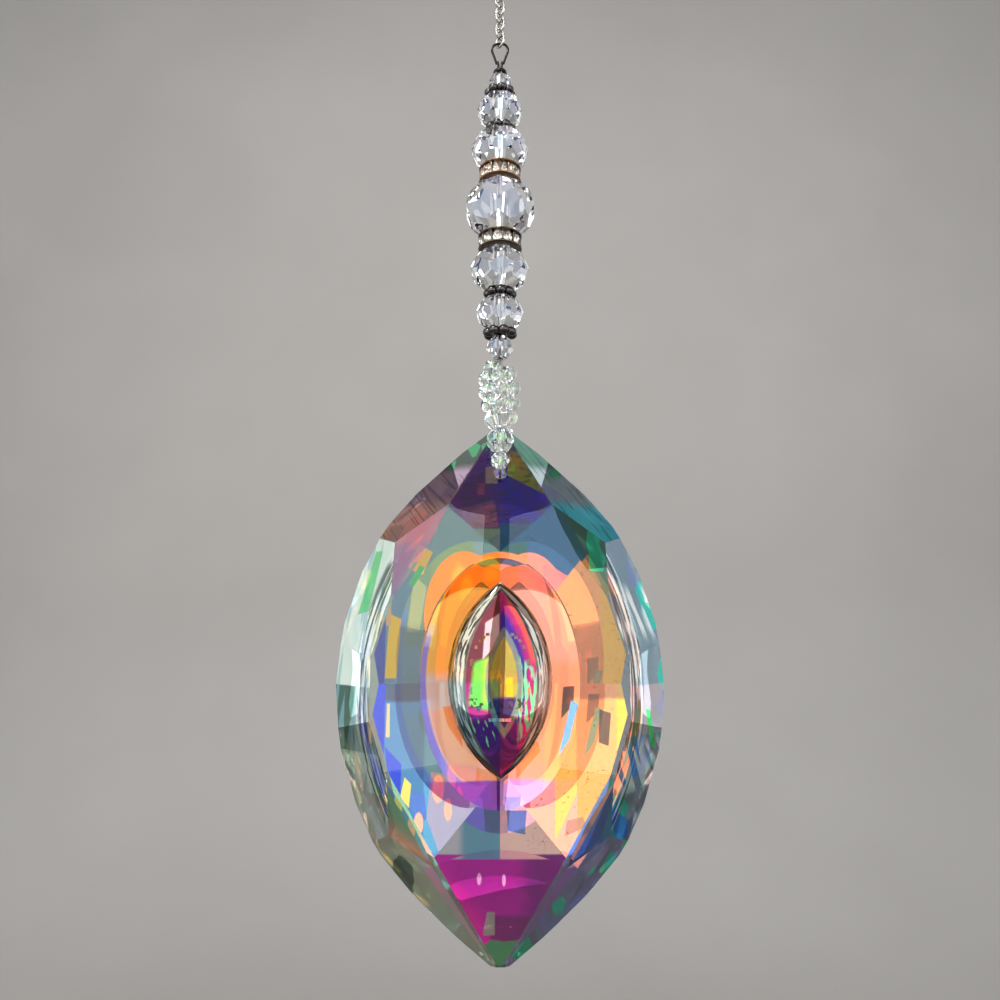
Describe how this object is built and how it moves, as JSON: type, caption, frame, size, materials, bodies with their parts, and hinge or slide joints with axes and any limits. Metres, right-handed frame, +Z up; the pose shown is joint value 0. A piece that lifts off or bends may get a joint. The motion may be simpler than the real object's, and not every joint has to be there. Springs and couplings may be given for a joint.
{
  "type": "crystal suncatcher",
  "caption": "Hanging suncatcher: fine round-link chain, a strand of faceted clear beads with metal spacers, and a pointed oval crystal with a raised eye on a beaded loop.",
  "frame": {"origin": "where the top link of the chain bears on whatever holds it up, at the underside of the link's upper wire", "axes": "+Z up along the chain; -Y out of the crystal's front, the side with the ground dish and raised eye; +X to the right seen from the front"},
  "size_m": [0.0516, 0.0178, 0.2503],
  "materials": {
    "chain_silver": "bright plated wire, softly worn",
    "crimp_dark": "blackened, satin",
    "wire_dark": "blackened, satin",
    "bead_crystal": "cut and polished clear crystal",
    "spacer_gunmetal": "dark gunmetal plating with polished high points",
    "rondelle_bronze": "antiqued bronze plating",
    "rondelle_stone": "small foiled clear stones",
    "loop_crystal": "cut and polished clear crystal",
    "crystal_iris": "cut clear crystal with an iridescent coating on its back facets"
  },
  "bodies": {
    "root": {"chain": "chain_silver", "crimp": "crimp_dark", "beading_wire": "wire_dark", "crystal": "crystal_iris", "bead_4mm_top": "bead_crystal", "daisy_spacer_1": "spacer_gunmetal", "bead_8mm_upper": "bead_crystal", "daisy_spacer_2": "spacer_gunmetal", "bead_10mm_upper": "bead_crystal", "rondelle_upper_metal": "rondelle_bronze", "rondelle_upper_stones": "rondelle_stone", "bead_12mm_centre": "bead_crystal", "rondelle_lower_metal": "rondelle_bronze", "rondelle_lower_stones": "rondelle_stone", "bead_10mm_lower": "bead_crystal", "daisy_spacer_3": "spacer_gunmetal", "bead_8mm_lower": "bead_crystal", "daisy_spacer_4": "spacer_gunmetal", "bead_5mm_bottom": "bead_crystal", "loop_front_rondelle_1": "loop_crystal", "loop_front_rondelle_2": "loop_crystal", "loop_front_rondelle_3": "loop_crystal", "loop_front_rondelle_4": "loop_crystal", "loop_front_bicone": "loop_crystal", "loop_front_round": "loop_crystal", "loop_front_end": "loop_crystal", "loop_back_rondelle_1": "loop_crystal", "loop_back_rondelle_2": "loop_crystal", "loop_back_rondelle_3": "loop_crystal", "loop_back_rondelle_4": "loop_crystal", "loop_back_bicone": "loop_crystal", "loop_back_round": "loop_crystal", "loop_back_end": "loop_crystal"}
  },
  "joints": []
}
